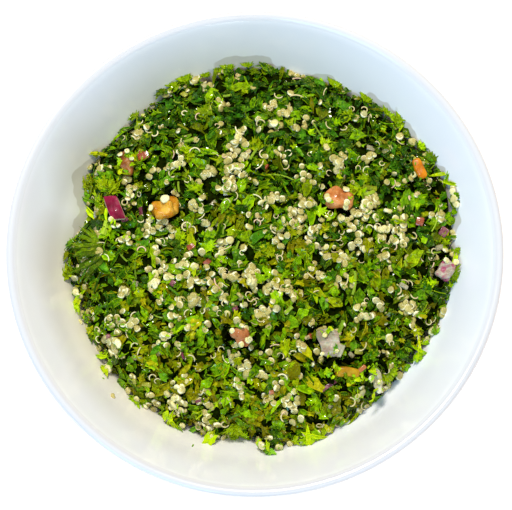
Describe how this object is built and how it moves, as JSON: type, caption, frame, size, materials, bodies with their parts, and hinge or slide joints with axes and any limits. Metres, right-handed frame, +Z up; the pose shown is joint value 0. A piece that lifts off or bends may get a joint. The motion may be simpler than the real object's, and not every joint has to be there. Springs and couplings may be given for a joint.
{
  "type": "tabbouleh salad in a bowl",
  "caption": "Chopped parsley and quinoa salad with diced tomato, pepper and onion, heaped in a round white glazed footed bowl.",
  "frame": {"origin": "on the table, under the middle of the bowl", "axes": "+Z up out of the bowl, -Y towards the front, where a diner sits"},
  "size_m": [0.2, 0.2, 0.062],
  "materials": {
    "glazed_porcelain": "glossy white glaze",
    "herbs_and_quinoa": "wet chopped herbs and grain",
    "amber_tomato_flesh": "wet cut flesh",
    "pink_tomato_flesh": "wet cut flesh",
    "red_onion_skin": "wet smooth skin",
    "onion_flesh": "wet translucent flesh",
    "orange_pepper_skin": "wet smooth skin"
  },
  "bodies": {
    "root": {"bowl": "glazed_porcelain", "salad": "herbs_and_quinoa", "amber_tomato": "amber_tomato_flesh", "pink_tomato": "pink_tomato_flesh", "tomato_scrap": "pink_tomato_flesh", "tomato_skin": "pink_tomato_flesh", "onion_petal": "red_onion_skin", "onion_chunk": "onion_flesh", "onion_slice": "onion_flesh", "onion_strip": "onion_flesh", "pepper_strip": "orange_pepper_skin", "pepper_slice": "amber_tomato_flesh"}
  },
  "joints": []
}
